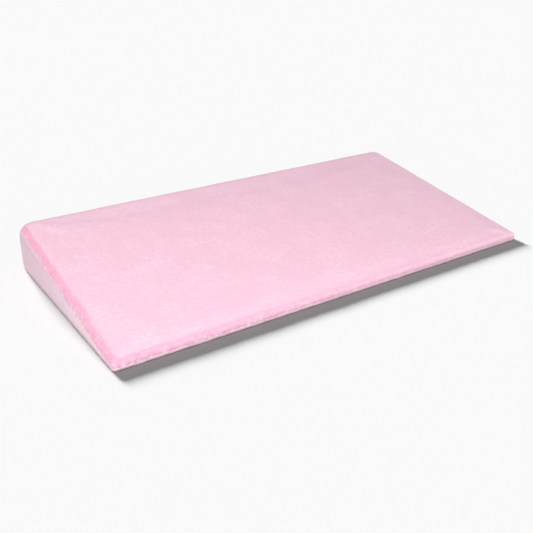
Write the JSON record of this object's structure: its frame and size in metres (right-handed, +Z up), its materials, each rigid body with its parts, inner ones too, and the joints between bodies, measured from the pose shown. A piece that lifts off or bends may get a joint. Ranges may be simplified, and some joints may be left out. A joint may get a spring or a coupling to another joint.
{
  "type": "incline wedge cushion",
  "caption": "Low foam wedge cushion that slopes across its short side, in a plush sewn cover with rounded shoulders, a flat cloth base and a zip along the tall back",
  "frame": {"origin": "middle of the flat underside, on the floor", "axes": "+X along the long edges, +Y from the thin front edge to the tall back, +Z up; the zip closes towards +X"},
  "size_m": [0.6007, 0.3043, 0.062],
  "materials": {
    "plush": "short-pile pink plush",
    "base_cloth": "pale pink woven cloth",
    "label_satin": "blank white satin",
    "thread": "pink polyester thread",
    "base_thread": "pale pink polyester thread",
    "liner_film": "white knit laminated to a waterproof film",
    "foam": "cream open-cell polyurethane foam",
    "zip_cloth": "pink woven tape",
    "zip_nylon": "pink nylon",
    "stop_metal": "bare aluminium",
    "slider_paint": "pink painted zinc alloy"
  },
  "bodies": {
    "cover": {"top_panel": "plush", "left_end_panel": "plush", "right_end_panel": "plush", "back_upper_panel": "plush", "back_lower_panel": "plush", "base_panel": "base_cloth", "zip_tab_left": "plush", "zip_tab_right": "plush", "care_label": "label_satin", "seam_thread_top": "thread", "seam_thread_base": "base_thread", "seam_thread_corners": "thread", "topstitch_upper": "thread", "topstitch_lower": "thread", "liner_wrap": "liner_film", "liner_left_end": "liner_film", "liner_right_end": "liner_film", "liner_back": "liner_film", "foam_core": "foam", "zip_tape_upper": "zip_cloth", "zip_tape_lower": "zip_cloth", "zip_coil_upper": "zip_nylon", "zip_coil_lower": "zip_nylon", "zip_top_stops": "stop_metal", "zip_bottom_stop": "stop_metal"},
    "zip_slider": {"zip_slider": "slider_paint"},
    "zip_pull": {"zip_pull": "slider_paint"}
  },
  "joints": [
    {"name": "zip_travel", "type": "slide", "parent": "cover", "child": "zip_slider", "axis": [-1, 0, 0], "range_m": [0, 0.4905], "deforming": ["zip_coil_upper", "zip_coil_lower"]},
    {"name": "pull_swing", "type": "hinge", "parent": "zip_slider", "child": "zip_pull", "pos_m": [0.24525, 0.1521, 0.026], "axis": [0, 0, -1], "range_deg": [0, 180]}
  ]
}
